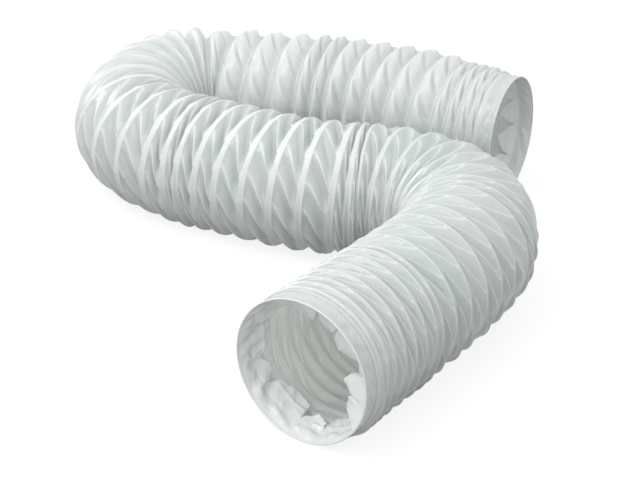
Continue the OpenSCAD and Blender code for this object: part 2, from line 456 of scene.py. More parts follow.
class Formula(Nodes):
    """A geometry node tree in the making, with named inputs."""

    def __init__(self, name: str) -> None:
        """Starts an empty tree.

        Args:
            name: Name of the tree.
        """
        super().__init__(bpy.data.node_groups.new(name, "GeometryNodeTree"))
        for way in ("INPUT", "OUTPUT"):
            self.tree.interface.new_socket("Geometry", in_out=way, socket_type="NodeSocketGeometry")
        self.entry = self.tree.nodes.new("NodeGroupInput")
        self.exit = self.tree.nodes.new("NodeGroupOutput")
        self.identifiers: dict[str, str] = {}

    def take(self, name: str, kind: str, default: Any = None) -> bpy.types.NodeSocket:
        """Adds a named input.

        Args:
            name: Name of the input.
            kind: Its socket type, such as "Float".
            default: Its value where none is set.

        Returns:
            The socket that gives the input inside the tree.
        """
        item = self.tree.interface.new_socket(name, in_out="INPUT", socket_type=f"NodeSocket{kind}")
        if default is not None:
            item.default_value = default
        self.identifiers[name] = item.identifier
        return next(s for s in self.entry.outputs if s.identifier == item.identifier)

    def size(self, name: str, default: float) -> Term:
        """Adds a named number, such as a size in millimetres."""
        return Term(self.tree, self.take(name, "Float", default))

    def attribute(self, name: str) -> Term:
        """Reads a number stored on the mesh.

        Args:
            name: Name of the attribute.

        Returns:
            The number at each point.
        """
        node = self.node("GeometryNodeInputNamedAttribute", Name=name)
        node.data_type = "FLOAT"
        return Term(self.tree, node.outputs["Attribute"])

    def chance(self, key: Term, seed: bpy.types.NodeSocket, low: float, high: float) -> Term:
        """A random number for each whole value of key.

        Args:
            key: What the number belongs to.
            seed: The tree's seed.
            low: Least value.
            high: Greatest value.

        Returns:
            The random number.
        """
        node = self.node("FunctionNodeRandomValue")
        node.data_type = "FLOAT"
        floats = [s for s in node.inputs if s.type == "VALUE"]
        self.feed(next(s for s in floats if s.name == "Min"), low)
        self.feed(next(s for s in floats if s.name == "Max"), high)
        self.feed(node.inputs["ID"], key)
        self.feed(node.inputs["Seed"], seed)
        return Term(self.tree, next(s for s in node.outputs if s.type == "VALUE"))

    def noise(self, x: Term, y: Term, z: Term, detail: float = 1.0) -> Term:
        """Smooth noise.

        Args:
            x: First number of the place in the noise.
            y: Second number.
            z: Third number.
            detail: How many finer waves are added.

        Returns:
            Numbers from -1 to 1.
        """
        place = self.node("ShaderNodeCombineXYZ", X=x, Y=y, Z=z)
        node = self.node("ShaderNodeTexNoise", Vector=place.outputs[0], Scale=1.0, Detail=detail)
        return (Term(self.tree, node.outputs[0]) - 0.5) * 2.0

    def store(self, geometry: bpy.types.NodeSocket, name: str, value: Term) -> bpy.types.NodeSocket:
        """Stores a number on the points of the mesh.

        Args:
            geometry: The mesh so far.
            name: Name of the attribute.
            value: The number at each point.

        Returns:
            The mesh with the attribute.
        """
        node = self.node("GeometryNodeStoreNamedAttribute", Geometry=geometry, Name=name)
        node.data_type = "FLOAT"
        node.domain = "POINT"
        self.feed(next(s for s in node.inputs if s.name == "Value" and s.type == "VALUE"), value)
        return node.outputs[0]

    def finish(self, geometry: bpy.types.NodeSocket) -> None:
        """Ends the tree in Realize Instances and Set Material.

        Args:
            geometry: The finished mesh.
        """
        real = self.node("GeometryNodeRealizeInstances", Geometry=geometry)
        material = self.take("Material", "Material")
        dressed = self.node("GeometryNodeSetMaterial", Geometry=real.outputs[0], Material=material)
        self.tree.links.new(dressed.outputs[0], self.exit.inputs[0])

    def run(self, mesh: bpy.types.Mesh, values: dict[str, Any]) -> bpy.types.Mesh:
        """Puts a mesh through the tree.

        Args:
            mesh: The mesh that goes in.
            values: Values of the named inputs.

        Returns:
            The plain mesh that comes out.
        """
        maker = put_in_scene(f"{self.tree.name}_maker", mesh)
        modifier = maker.modifiers.new(self.tree.name, "NODES")
        modifier.node_group = self.tree
        for name, value in values.items():
            modifier[self.identifiers[name]] = value
        bpy.context.view_layer.update()
        made = maker.evaluated_get(bpy.context.evaluated_depsgraph_get())
        plain = bpy.data.meshes.new_from_object(made)
        maker.modifiers.remove(modifier)
        bpy.data.objects.remove(maker)
        return plain


def placed_on_hose(
    formula: Formula, station: Term, turn: Term, radius: Term, floor: Term
) -> bpy.types.NodeSocket:
    """Positions round the centreline, in metres.

    Args:
        formula: The tree, which gets an input for the centreline.
        station: Stations in millimetres.
        turn: Turns round from the top.
        radius: Distances from the centreline in millimetres.
        floor: Least height in millimetres.

    Returns:
        The socket with the positions.
    """
    line = formula.take("Centreline", "Object")
    info = formula.node("GeometryNodeObjectInfo", Object=line)
    sample = formula.tree.nodes.new("GeometryNodeSampleCurve")
    sample.mode = "LENGTH"
    sample.use_all_curves = True
    formula.feed(sample.inputs["Curves"], info.outputs["Geometry"])
    formula.feed(sample.inputs["Length"], station * MM)
    at = formula.node("ShaderNodeSeparateXYZ", Vector=sample.outputs["Position"])
    way = formula.node("ShaderNodeSeparateXYZ", Vector=sample.outputs["Tangent"])
    x, y, z = (Term(formula.tree, s) for s in at.outputs)
    ahead, aside = (Term(formula.tree, s) for s in way.outputs[:2])
    angle = turn * TURN
    side = radius * angle.sine() * MM
    height = (z + radius * angle.cosine() * MM).at_least(floor * MM)
    place = formula.node("ShaderNodeCombineXYZ", X=x - side * aside, Y=y + side * ahead, Z=height)
    return place.outputs[0]


# --------------------------------------------------------------------------------------------------
# Finishes
# --------------------------------------------------------------------------------------------------


class Shade(Nodes):
    """A material in the making: its node tree and the Principled shader that it ends in."""

    def __init__(self, name: str) -> None:
        """Starts a material with a Principled shader.

        Args:
            name: Name of the material.
        """
        self.material = bpy.data.materials.new(name)
        self.material.use_nodes = True
        super().__init__(self.material.node_tree)
        self.shader = self.first("BSDF_PRINCIPLED")

    def set(self, **values: Any) -> None:
        """Sets or links inputs of the Principled shader."""
        for key, value in values.items():
            self.feed(self.shader.inputs[key.replace("_", " ")], value)

    def stored(self, name: str) -> bpy.types.NodeSocket:
        """Reads a number stored on the mesh.

        Args:
            name: Name of the attribute.

        Returns:
            The socket that gives it.
        """
        node = self.node("ShaderNodeAttribute")
        node.attribute_name = name
        return node.outputs["Fac"]

    def noise(self, scale: float, detail: float) -> bpy.types.NodeSocket:
        """Noise that lies still on the piece, with its scale in waves to the metre."""
        place = self.node("ShaderNodeTexCoord").outputs["Object"]
        return self.node("ShaderNodeTexNoise", Vector=place, Scale=scale, Detail=detail).outputs[0]

    def spread(self, share: bpy.types.NodeSocket, low: float, high: float) -> bpy.types.NodeSocket:
        """A number that is low where the share is 0 and high where it is 1."""
        return self.node("ShaderNodeMapRange", Value=share, To_Min=low, To_Max=high).outputs["Result"]

    def mixed(self, share: bpy.types.NodeSocket, low: Any, high: Any) -> bpy.types.NodeSocket:
        """Mixes two colours.

        Args:
            share: How much of the second colour there is.
            low: The first colour, or a socket that gives it.
            high: The second colour, or a socket that gives it.

        Returns:
            The socket with the mixed colour.
        """
        node = self.node("ShaderNodeMix")
        node.data_type = "RGBA"
        self.feed(node.inputs["Factor"], share)
        # A Mix node has its two colours after the sockets for numbers and vectors
        for slot, colour in ((6, low), (7, high)):
            self.feed(node.inputs[slot], (*colour, 1) if isinstance(colour, tuple) else colour)
        return node.outputs[2]

    def wrinkled(self, strength: float) -> bpy.types.NodeSocket:
        """The fine wrinkles of thin film.

        Args:
            strength: How strong they are.

        Returns:
            The socket that gives their normal.
        """
        node = self.node("ShaderNodeGroup")
        node.node_tree = Wrinkles().group()
        node.inputs["Strength"].default_value = strength
        return node.outputs["Normal"]


@dataclass(frozen=True)
class Wrinkles:
    """The fine wrinkles of thin film: long creases and a faint crackle, with scales in waves to the metre."""

    name: str = "FilmWrinkles"
    creases: float = 62.0
    twist: float = 0.8
    crackle: float = 70.0
    crackle_line: float = 0.09
    crackle_share: float = 0.25
    height: float = 0.0008
    strength: float = 0.3

    def group(self) -> bpy.types.NodeTree:
        """Builds the group once, and gives the same one after that.

        Returns:
            A shader node group with an input Strength and an output Normal.
        """
        if self.name in bpy.data.node_groups:
            return bpy.data.node_groups[self.name]
        group = Nodes(bpy.data.node_groups.new(self.name, "ShaderNodeTree"))
        sockets = group.tree.interface
        strength = sockets.new_socket("Strength", in_out="INPUT", socket_type="NodeSocketFloat")
        strength.default_value = self.strength
        sockets.new_socket("Normal", in_out="OUTPUT", socket_type="NodeSocketVector")
        entry, leave = group.node("NodeGroupInput"), group.node("NodeGroupOutput")
        place = group.node("ShaderNodeTexCoord").outputs["Object"]
        soft = group.node("ShaderNodeTexNoise", Vector=place, Scale=self.creases, Detail=3.0,
                          Distortion=self.twist)
        cells = group.node("ShaderNodeTexVoronoi", Vector=place, Scale=self.crackle)
        cells.feature = "DISTANCE_TO_EDGE"
        lines = group.node("ShaderNodeMapRange", Value=cells.outputs["Distance"], From_Min=0.0,
                           From_Max=self.crackle_line)
        lines.interpolation_type = "SMOOTHSTEP"
        crackle, creases = (Term(group.tree, node.outputs[i]) for node, i in ((lines, "Result"), (soft, 0)))
        height = crackle.math("MULTIPLY_ADD", self.crackle_share, creases)
        bump = group.node("ShaderNodeBump", Strength=entry.outputs["Strength"], Distance=self.height,
                          Height=height)
        group.feed(leave.inputs["Normal"], bump.outputs["Normal"])
        return group.tree


@dataclass(frozen=True)
class FilmFinish:
    """Thin soft PVC film: two plies on the laps, which are whiter, and a cooler thinner look on the folds."""

    name: str = "film_pvc"
    lap_colour: Colour = (0.79, 0.82, 0.795)
    fold_colour: Colour = (0.52, 0.575, 0.555)
    tint_colour: Colour = (0.555, 0.59, 0.60)
    tint_scale: float = 14.0
    tint_range: Run = (0.35, 0.7)
    roughness: float = 0.30
    glossier: float = 0.08
    duller: float = 0.12
    gloss_scale: float = 48.0
    wrinkle: float = 0.42
    index: float = 1.5
    glow: float = 0.12
    inside_glow: float = 0.85
    glow_reach: float = 0.006
    # painted light: strength of the bore's faint glow
    painted_through_glow: float = 0.08

    def material(self) -> bpy.types.Material:
        """Builds the material.

        Returns:
            The material.
        """
        shade = Shade(self.name)
        least, most = self.tint_range
        clouds = shade.noise(self.tint_scale, detail=2.0)
        tint = shade.node("ShaderNodeMapRange", Value=clouds, From_Min=least, From_Max=most)
        fold = shade.mixed(tint.outputs["Result"], self.fold_colour, self.tint_colour)
        # The stored whiteness holds painted shade, painted highlights and painted light besides the plies
        colour = shade.mixed(shade.stored("lap"), fold, self.lap_colour)
        patches = shade.noise(self.gloss_scale, detail=3.0)
        rough = shade.spread(patches, self.roughness - self.glossier, self.roughness + self.duller)
        # The bore is lit through the film as well as through the mouths: subsurface light and a faint painted
        # glow
        inside = shade.stored("inside")
        shade.set(
            Base_Color=colour, Roughness=rough, Normal=shade.wrinkled(self.wrinkle), IOR=self.index,
            Subsurface_Weight=shade.spread(inside, self.glow, self.inside_glow), Subsurface_Scale=1.0,
            Subsurface_Radius=(self.glow_reach,) * 3, Emission_Color=colour,
            Emission_Strength=Term(shade.tree, inside) * self.painted_through_glow,
        )
        return shade.material


@dataclass(frozen=True)
class HemFinish:
    """The hem's film, a little glossier: outside like the folds, and whiter where turned in: painted light in
    the mouth.
    """

    name: str = "film_hem"
    colour: Colour = (0.86, 0.885, 0.865)
    shadow_colour: Colour = (0.76, 0.80, 0.785)
    outer_colour: Colour = (0.60, 0.645, 0.625)
    cloud_scale: float = 40.0
    roughness: float = 0.24
    wrinkle: float = 0.5
    index: float = 1.5

    def material(self) -> bpy.types.Material:
        """Builds the material.

        Returns:
            The material.
        """
        shade = Shade(self.name)
        # The turned-in film is whiter: painted light on the inside of the mouth
        painted_light_turned_in = shade.mixed(shade.noise(self.cloud_scale, detail=2.0), self.shadow_colour, self.colour)
        colour = shade.mixed(shade.stored("inside"), self.outer_colour, painted_light_turned_in)
        shade.set(Base_Color=colour, Roughness=self.roughness, Normal=shade.wrinkled(self.wrinkle),
                  IOR=self.index)
        return shade.material


@dataclass(frozen=True)
class WireFinish:
    """Drawn spring steel with fine marks on it."""

    name: str = "spring_steel"
    colour: Colour = (0.52, 0.53, 0.55)
    roughness: float = 0.32
    glossier: float = 0.1
    duller: float = 0.15
    mark_scale: float = 900.0
    mark_strength: float = 0.15
    mark_height: float = 0.0001

    def material(self) -> bpy.types.Material:
        """Builds the material.

        Returns:
            The material.
        """
        shade = Shade(self.name)
        marks = shade.noise(self.mark_scale, detail=2.0)
        rough = shade.spread(marks, self.roughness - self.glossier, self.roughness + self.duller)
        bump = shade.node("ShaderNodeBump", Height=marks, Strength=self.mark_strength,
                          Distance=self.mark_height)
        shade.set(Base_Color=(*self.colour, 1), Metallic=1.0, Roughness=rough, Normal=bump.outputs["Normal"])
        return shade.material


# --------------------------------------------------------------------------------------------------
# Film
# --------------------------------------------------------------------------------------------------


@dataclass
class Grid:
    """A strip of film wound along the wire: columns along it, rows from one turn of the wire to the next."""

    faces: np.ndarray
    values: dict[str, np.ndarray]

    @property
    def count(self) -> int:
        """Number of points on one side of the film."""
        return len(next(iter(self.values.values())))


@dataclass(frozen=True)
class FoldShape:
    """Proportions of the folds.

    A run gives a start and an end, or the range of a random number. Openings, closings and ends are shares of
    the way from the lap to the next turn. Phases go from 0 on a fold's ridge to 1 on the next.
    """

    least_spread: float = 0.12  # how close the turns get on the inner side of a bend
    crowding: Run = (0.15, 0.55)  # how much closer than on the centreline they are where the film goes slack
    least_spare: float = 0.14  # film to spare where the turns are as far apart as it allows
    taut_lap: float = 0.35  # width of a taut lap, in laps
    widest_lap: float = 0.31  # as a share of the way between two turns
    lap_edge: float = 0.82
    barb_power: float = 1.6
    barb_back: float = 0.08  # phase over which a barb falls off after its ridge
    barb_range: Run = (0.5, 1.25)
    barb_pitch: float = 20.0  # millimetres between turns at which the barbs have their whole length
    turned_barb: float = 0.85  # how much of their length turning over takes
    ridge_side: float = 0.64  # phase at which a pleat is deepest
    turned_side: float = 0.24
    second_crease: Run = (-0.05, 0.25)
    second_width: float = 0.14
    second_fold: Run = (0.0, 0.3)
    depth_below: float = 0.28  # depth of the folds at the bottom
    below: Run = (-1.0, -0.55)  # cosines from the top over which the folds get their whole depth
    taut_opening: Run = (0, 0.085)
    taut_closing: Run = (0.72, 1.0)
    taut_rise: float = 0.55
    taut_end: Run = (0.93, 1.0)
    pleat_opening: Run = (0, 0.22)
    pleat_height: float = 1.3
    pleat_power: float = 0.75
    turned_opening: Run = (0.08, 0.68)
    turned_closing: Run = (0.76, 1.0)
    turned_depth: float = 0.85
    uneven: Run = (0.62, 1.15)
    facet_power: float = 0.9
    warp: float = 0.16
    warp_scales: tuple[float, float, float] = (9.0, 1.3, 0.11)  # by turn, by share of the way and by fold
    arc_power: float = 0.85
    arc_sides: float = 0.36  # how far film hangs out at the sides, in bulges
    arc_below: float = 0.5  # and how much more below
    dome_power: float = 0.78
    dome_height: float = 1.52  # in bulges
    dome_drop: float = 0.7
    dome_run: Run = (90, 5)  # millimetres from the rear hem over which the domes get lower
    wave: float = 0.25
    wave_scales: tuple[float, float, float] = (20.0, 0.10, 3.0)  # by turn, by millimetre and by turn
    wave_detail: float = 2.0
    streak: float = 0.45
    streak_scales: tuple[float, float, float] = (2.1, 0.8, 0.3)  # by fold and twice by share of the way
    wire_width: float = 1.15  # millimetres from the wire's line to the edge of its ridge
    closest_wire: float = 0.35
    between_wires: Run = (0.4, 0.6)  # shares of the way over which the next wire becomes the nearest
    wire_ease: float = 0.04  # turns past the wire's ends over which its ridge goes
    hem_ease: Run = (0.5, 6)  # millimetres from a hem over which the folds begin
    inner_reach: float = 0.6  # how deep the inner ply is, in depths of the folds
    inner_baggy: float = 0.3
    inner_dome: float = 0.55  # how much of the domes it doesn't follow


@dataclass(frozen=True)
class Whiteness:
    """How white the film is, from 0 where it is single to 1 where it is doubled, painted light and shade
    included.
    """

    taut_lap: float = 0.15
    baggy_lap: float = 0.8
    turned_lap: float = 0.8  # how much of it turning over takes
    lap_edge: float = 0.05
    wire: float = 0.9
    taut: float = 0.2
    turned: float = 0.55
    # painted shade: how much whiter a pleat is by its ridge than in its hollow
    painted_pleat_shade: float = 0.12
    # creases are whitened as creased PVC is, and carry a painted highlight too
    crease_width: float = 0.05  # in phases
    crease_start: float = 0.1
    crease_fade: float = 0.2
    mouth: float = 0.45
    mouth_reach: float = 45  # millimetres from the front hem


@dataclass
class Sleeve:
    """The film sleeve: one wound strip that is flat on the lap beside the wire and folds between the turns.

    Lengths are in millimetres.
    """

    route: Route
    winding: Winding
    finish: FilmFinish
    hem: float = 12.0
    radius: float = 52.35
    wall: float = 0.9
    folds_per_turn: int = 13
    fold_columns: int = 12
    fold_stray: float = 0.13  # how far a ridge lies off its even place, in folds
    slant_columns: int = 16  # how far a column comes round on its way from wire to wire
    lean: float = 1.3
    lap: float = 4.0
    lap_rows: float = 0.3  # the share of the rows that lies on the lap
    beside_wire: float = 1.3  # flat film on each side of a wire
    fold_depth: float = 8.8
    film_length: float = 35.0
    full_pitch: float = 18.0  # the distance between turns at which the folds have their whole depth
    bulge: float = 9.2
    wire_ridge: float = 0.6
    inner_ridge: float = 0.4
    barb: float = 0.5
    seed: int = 7
    least_slack: float = 0.68
    slack_run: Run = (300.0, 420.0)  # stations between which the film gets slacker
    turned_run: Run = (600.0, 700.0)  # and between which it gets turned over
    shape: FoldShape = FoldShape()
    whiteness: Whiteness = Whiteness()

    @property
    def columns(self) -> int:
        """Columns in one turn."""
        return self.folds_per_turn * self.fold_columns

    def column_phases(self) -> np.ndarray:
        """Where the columns of one fold lie between its ridge and the next, closest beside the ridges."""
        return np.array([0, 0.04, 0.09, 0.15, 0.24, 0.36, 0.50, 0.64, 0.76, 0.85, 0.91, 0.96])

    def rows(self) -> tuple[np.ndarray, np.ndarray]:
        """The rows between two turns of the wire.

        Returns:
            The millimetres beside the wires that each row adds, and its share of the rest of the way.
        """
        past_wire, before_wire = [0, 0.4, 0.8, 1.3], [1.3, 1.8, 2.2, 2.6]
        shares = [0.1, 0.2, 0.27, 0.295, 0.315, 0.335, 0.36, 0.40, 0.45, 0.52, 0.60, 0.68, 0.76, 0.84, 0.92]
        beside = past_wire + [self.beside_wire] * len(shares) + before_wire
        return np.array(beside), np.array([0] * len(past_wire) + shares + [1] * len(before_wire))

    def turn_of(self, column: np.ndarray, ridge: np.ndarray) -> np.ndarray:
        """Turn of a column where it leaves the wire.

        Args:
            column: Columns from the first turn on.
            ridge: Place of each fold's ridge, in folds, from one turn before that.

        Returns:
            Turns from the top of the first round.
        """
        fold, part = np.divmod(column + self.columns, self.fold_columns)
        share = self.column_phases()[part]
        along = ridge[fold] * (1 - share) + ridge[fold + 1] * share
        return (along - self.folds_per_turn) / self.folds_per_turn + self.winding.first_turn - 1

    def grid(self) -> Grid:
        """Lays out the strip.

        Returns:
            Which points share a face, and where each point lies on the strip.
        """
        rng = np.random.default_rng(self.seed)
        per_turn, slant = self.columns, self.slant_columns
        end = self.route.length - self.hem
        # The strip goes on for a turn past each end of the wire, to the hems
        turns = self.winding.last_turn - self.winding.first_turn + 2
        last = int(round(turns * per_turn))
        folds = last // self.fold_columns + 2 * self.folds_per_turn + 2
        ridge = np.arange(folds) + rng.uniform(-self.fold_stray, self.fold_stray, folds)

        beside, shares = self.rows()
        rows = len(shares)
        columns = np.arange(-(per_turn - slant), last + 1)
        upper = columns + per_turn - slant
        low_turn = self.turn_of(columns, ridge)
        high_turn = self.turn_of(np.minimum(upper, last + per_turn), ridge) - 1
        lean = 1 - (1 - ramp(shares, self.lap_rows, 1)) ** self.lean
        turn = low_turn[:, None] * (1 - lean) + high_turn[:, None] * lean
        lower_station = self.winding.film_station(turn, self.hem, end)
        upper_station = self.winding.film_station(turn + 1, self.hem, end)
        middle = 0.5 * (lower_station + upper_station)
        fold, part = np.divmod(columns + per_turn, self.fold_columns)

        # The last row of a column is the first row of the column one turn on
        index = np.arange(len(columns) * rows).reshape(len(columns), rows)
        following = upper - columns[0]
        shared = following < len(columns)
        index[shared, -1] = index[following[shared], 0]
        used, compact = np.unique(index, return_inverse=True)
        index = compact.reshape(index.shape)
        faces = np.stack([index[:-1, :-1], index[1:, :-1], index[1:, 1:], index[:-1, 1:]], -1).reshape(-1, 4)

        slack = self.least_slack + (1 - self.least_slack) * ramp(middle, *self.slack_run)
        values = {
            "turn": turn, "lower": lower_station, "upper": upper_station,
            "phase": self.column_phases()[part][:, None], "fold": fold[:, None], "beside": beside,
            "share": shares, "curvature": self.route.curvature(middle), "slack": slack,
            "turned": ramp(middle, *self.turned_run),
        }
        return Grid(faces, {k: np.broadcast_to(v, turn.shape).reshape(-1)[used] for k, v in values.items()})

    def whole(
        self, centreline: bpy.types.Object, material: bpy.types.Material
    ) -> tuple[Grid, dict[str, np.ndarray]]:
        """Makes the whole sleeve, outside and inside.

        Args:
            centreline: The curve of the centreline.
            material: The film's material.

        Returns:
            The grid of the outside, and the points, normals, whiteness and stations of both sides.
        """
        grid = self.grid()
        count = grid.count
        inner_faces = grid.faces[:, ::-1] + count
        mesh = bpy.data.meshes.new("sleeve_grid")
        mesh.from_pydata(np.zeros((2 * count, 3)), [], np.concatenate([grid.faces, inner_faces]).tolist())
        found = {"inside": np.repeat(np.float32([0, 1]), count)}
        store_on_points(mesh, **{name: np.tile(values, 2) for name, values in grid.values.items()}, **found)
        made = FoldedFilm(self).finished().run(mesh, {
            "Centreline": centreline, "Material": material, "Seed": self.seed, "Fold depth": self.fold_depth,
            "Wire start": self.winding.first_turn, "Wire end": self.winding.last_turn,
        })
        for name, layer in (("point", "co"), ("normal", "normal")):
            found[name] = np.zeros((2 * count, 3), np.float32)
            made.vertices.foreach_get(layer, found[name].ravel())
        for name in ("lap", "station"):
            found[name] = np.zeros(2 * count, np.float32)
            made.attributes[name].data.foreach_get("value", found[name])
        bpy.data.meshes.remove(made)
        return grid, found

    def piece(
        self, section: Section, grid: Grid, whole: dict[str, np.ndarray], material: bpy.types.Material
    ) -> tuple[bpy.types.Object, np.ndarray]:
        """Cuts one section out of the sleeve.

        Args:
            section: The section.
            grid: The grid of the outside.
            whole: The sleeve's points, normals, whiteness and stations.
            material: The film's material.

        Returns:
            The piece, closed along its edges, and the stations of its points.
        """
        count = grid.count
        middle = whole["station"][grid.faces].mean(1)
        first = section.start if section.start > self.hem else -math.inf
        last = section.end if section.end < self.route.length - self.hem else math.inf
        chosen = grid.faces[(middle >= first) & (middle < last)]
        # A side that only one chosen face has lies on an edge, and gets a wall across to the inner ply
        sides = np.concatenate([chosen[:, [i, (i + 1) % 4]] for i in range(4)])
        key = np.sort(sides, 1) @ np.array([count, 1])
        _, where, times = np.unique(key, return_index=True, return_counts=True)
        edges = sides[where[times == 1]]
        walls = np.stack([edges[:, 1], edges[:, 0], edges[:, 0] + count, edges[:, 1] + count], 1)
        faces = np.concatenate([chosen, chosen[:, ::-1] + count, walls])
        used, compact = np.unique(faces, return_inverse=True)
        mesh = bpy.data.meshes.new(f"film_{section.name}")
        mesh.from_pydata(whole["point"][used], [], compact.reshape(faces.shape).tolist())
        shade_smooth(mesh)
        store_on_points(mesh, lap=whole["lap"][used], inside=whole["inside"][used])
        mesh.normals_split_custom_set_from_vertices(whole["normal"][used])
        mesh.materials.append(material)
        return put_in_scene(f"hose_film_{section.name}", mesh), whole["station"][used]


class FoldedFilm:
    """The tree that folds the wound strip of film and lays it round the centreline.

    The strip's points carry the numbers of Sleeve.grid, and whether they are inside. The phase goes from 0 on
    a fold's ridge to 1 on the next. Film is taut in the front run, where it has only a net of creases, and
    baggy from the middle run on, where it is pleated. In the rear run it is turned over and stands out.
    """

    def __init__(self, sleeve: Sleeve) -> None:
        """Starts the tree with its named sizes, and finds where each point lies between its two turns.

        Args:
            sleeve: The sleeve that gives the sizes.
        """
        tree = Formula("FoldedFilm")
        self.formula = tree
        self.shape, self.white = sleeve.shape, sleeve.whiteness
        shape = sleeve.shape
        self.radius, self.wall = tree.size("Radius", sleeve.radius), tree.size("Wall", sleeve.wall)
        self.lap, self.depth = tree.size("Lap width", sleeve.lap), tree.size("Fold depth", sleeve.fold_depth)
        film_length = tree.size("Film between turns", sleeve.film_length)
        self.bulge, self.ridge = tree.size("Bulge", sleeve.bulge), tree.size("Wire ridge", sleeve.wire_ridge)
        self.inner_ridge = tree.size("Inner ridge", sleeve.inner_ridge)
        self.barb = tree.size("Barb", sleeve.barb)
        self.hem_start = tree.size("Front hem", sleeve.hem)
        self.hem_end = tree.size("Rear hem", sleeve.route.length - sleeve.hem)
        self.wire_start = tree.size("Wire start", sleeve.winding.first_turn)
        self.wire_end = tree.size("Wire end", sleeve.winding.last_turn)
        self.seed = tree.take("Seed", "Int", sleeve.seed)
        self.turn, self.phase, self.fold, self.turned, self.inside = (
            tree.attribute(name) for name in ("turn", "phase", "fold", "turned", "inside")
        )
        lower, upper, beside, share = (tree.attribute(name) for name in ("lower", "upper", "beside", "share"))
        angle = self.turn * TURN
        self.cosine = angle.cosine()

        # The turns stand closer together on the inner side of a bend
        inward = tree.attribute("curvature") * self.radius * angle.sine()
        spread = (1 - inward).at_least(shape.least_spread)
        self.pitch = (upper - lower) * spread
        self.loose = tree.attribute("slack").at_least(inward.eased(*shape.crowding))
        least = sleeve.least_slack
        self.baggy = ((self.loose - least) / (1 - least)).held()
        self.room = (self.pitch / sleeve.full_pitch).at_most(1)
        film = (1 - (self.pitch / film_length) ** 2).at_least(shape.least_spare).root()
        self.slack_film = film * self.loose

        edge, rows = self.lap_edge(), sleeve.lap_rows
        past_rows = ((share - rows) / (1 - rows)).at_least(0)
        self.nominal = (share / rows).at_most(1) * edge + past_rows * (1 - edge)
        self.past = ((self.nominal - edge) / (1 - edge)).held()
        flat_film = 2 * sleeve.beside_wire
        self.close = (self.pitch / (2 * flat_film)).at_most(1)
        offset = (beside * self.close + self.nominal * (self.pitch - flat_film * self.close)) / spread
        self.station = lower + offset
        self.along = offset * spread

    def lap_edge(self) -> Term:
        """Where the lap ends, as a share of the way to the next turn.

        Returns:
            Shares. The edge has barbs where the ridges start, longest just before the ridge.
        """
        shape = self.shape
        width = self.lap * (shape.taut_lap + (1 - shape.taut_lap) * self.baggy)
        lap_share = (width / self.pitch.at_least(1)).at_most(shape.widest_lap)
        before = ((self.phase - 0.5) / 0.5).at_least(0) ** shape.barb_power
        tip = before + (1 - self.phase / shape.barb_back).at_least(0)
        ragged = self.formula.chance(self.fold, self.seed, *shape.barb_range)
        room = (self.pitch / shape.barb_pitch).at_most(1)
        barbs = self.barb * tip * ragged * room * (1 - shape.turned_barb * self.turned)
        return lap_share * (shape.lap_edge + barbs)

    def facet(self) -> Term:
        """How far across a fold its film has sunk: it falls away from its ridge and comes back steeply.

        Returns:
            Shares from 0 on the ridges to 1. Taut film has a bowl there, and turned film leans the other way.
        """
        shape, phase, baggy, turned = self.shape, self.phase, self.baggy, self.turned
        side, turned_side = shape.ridge_side, shape.turned_side
        leaning = (phase / side).at_most((1 - phase) / (1 - side))
        bowl = 4 * phase * (1 - phase)
        turned_facet = ((1 - phase) / (1 - turned_side)).at_most(phase / turned_side)
        facet = (leaning * baggy + bowl * (1 - baggy)) * (1 - turned) + turned_facet * turned
        # Some facets have a faint second crease
        faint = self.formula.chance(self.fold + SECOND_DRAW, self.seed, *shape.second_crease)
        beside = (phase - 0.5).math("ABSOLUTE") / shape.second_width
        crease = (1 - beside).at_least(0) * faint * (1 - turned)
        return facet * (1 - crease * self.past.eased(*shape.second_fold))

    def upside(self) -> Term:
        """How much of their depth the folds have: less below, where the hose lies on them."""
        least = self.shape.depth_below
        return least + (1 - least) * self.cosine.eased(*self.shape.below)

    def sunk(self, facet: Term) -> Term:
        """How far the folds sink.

        Args:
            facet: The share of its depth that a fold has across.

        Returns:
            Depths. From the lap on, taut film sinks at once and stays down, pleated film comes back up to the
            next turn, and turned film sinks late.
        """
        shape, past, baggy, turned = self.shape, self.past, self.baggy, self.turned
        rising = 1 - past.eased(*shape.taut_closing) * shape.taut_rise
        taut = past.eased(*shape.taut_opening) * rising * (1 - past.eased(*shape.taut_end))
        closing = (shape.pleat_height * (1 - past).at_least(0) ** shape.pleat_power).at_most(1)
        pleated = past.eased(*shape.pleat_opening) * closing
        late = past.eased(*shape.turned_opening) * (1 - past.eased(*shape.turned_closing))
        opened = (pleated * baggy + taut * (1 - baggy)) * (1 - turned) + late * shape.turned_depth * turned
        uneven = self.formula.chance(self.fold, self.seed, *shape.uneven)
        by_turn, by_share, by_fold = shape.warp_scales
        warp = self.formula.noise(self.turn * by_turn, self.nominal * by_share, self.fold * by_fold)
        deepest = self.depth * self.room * self.slack_film * opened * self.upside()
        return deepest * (facet ** shape.facet_power) * uneven * (1 + shape.warp * warp)

    def hang(self) -> Term:
        """How far film stands out: at the sides and below, and all round where it has been turned over.

        Returns:
            Shares of the bulge. The domes are lower where the turns stand close and towards the rear mouth.
        """
        shape, nominal, turned = self.shape, self.nominal, self.turned
        arc = (nominal.at_least(0) ** shape.arc_power * math.pi).sine().at_least(0)
        dome = (4 * nominal * (1 - nominal)).at_least(0) ** shape.dome_power
        far, near = shape.dome_run
        lower = shape.dome_drop * self.station.eased(self.hem_end - far, self.hem_end - near)
        tall = (shape.dome_height - lower) * self.room
        hanging = arc * (shape.arc_sides - shape.arc_below * self.cosine) * (1 - turned)
        return self.slack_film * (hanging + dome * turned * tall)

